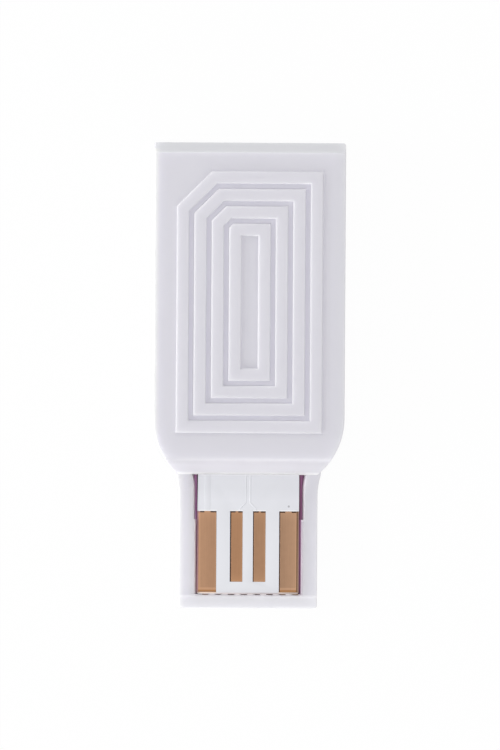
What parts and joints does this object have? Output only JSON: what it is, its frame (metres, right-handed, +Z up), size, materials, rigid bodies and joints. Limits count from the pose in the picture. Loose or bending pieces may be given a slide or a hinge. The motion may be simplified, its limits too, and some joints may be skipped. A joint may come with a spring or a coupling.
{
  "type": "usb wireless adapter",
  "caption": "Slim white usb stick with nested raised frames on its head, a plum underside, and an open plug with gilt contacts on a white board.",
  "frame": {"origin": "middle of the underside, on the surface that the stick lies on", "axes": "+Y from the plug to the head, +X to the right seen from above, +Z up through the raised frames"},
  "size_m": [0.0166, 0.0406, 0.0048],
  "materials": {
    "white_housing": "fine satin moulded plastic, white with a breath of lavender",
    "plum_cover": "fine satin moulded plastic, deep plum",
    "board": "white lacquer over glass fibre board, bare brown laminate at the edges of the contacts",
    "gilt": "thin matt gilding over copper, with fine rubbing marks",
    "copper": "printed copper",
    "chip": "black moulding compound",
    "metal_lid": "nickel lid on a ceramic tray",
    "capacitor": "fired ceramic with tinned ends",
    "resistor": "black glaze with tinned ends",
    "coil": "blue ceramic with tinned ends",
    "ferrite": "grey black ferrite with tinned ends"
  },
  "bodies": {
    "root": {"antenna_coil": "coil", "antenna_trace": "copper", "base_cover": "plum_cover", "capacitor_1": "capacitor", "capacitor_2": "capacitor", "capacitor_3": "capacitor", "capacitor_4": "capacitor", "capacitor_5": "capacitor", "capacitor_6": "capacitor", "capacitor_7": "capacitor", "capacitor_8": "capacitor", "circuit_board": "board", "contact_data_minus": "gilt", "contact_data_plus": "gilt", "contact_ground": "gilt", "contact_power": "gilt", "memory_chip": "chip", "power_bead": "ferrite", "radio_chip": "chip", "resistor_1": "resistor", "resistor_2": "resistor", "resistor_3": "resistor", "resistor_4": "resistor", "surge_guard": "chip", "timing_crystal": "metal_lid", "top_housing": "white_housing", "voltage_regulator": "chip"}
  },
  "joints": []
}
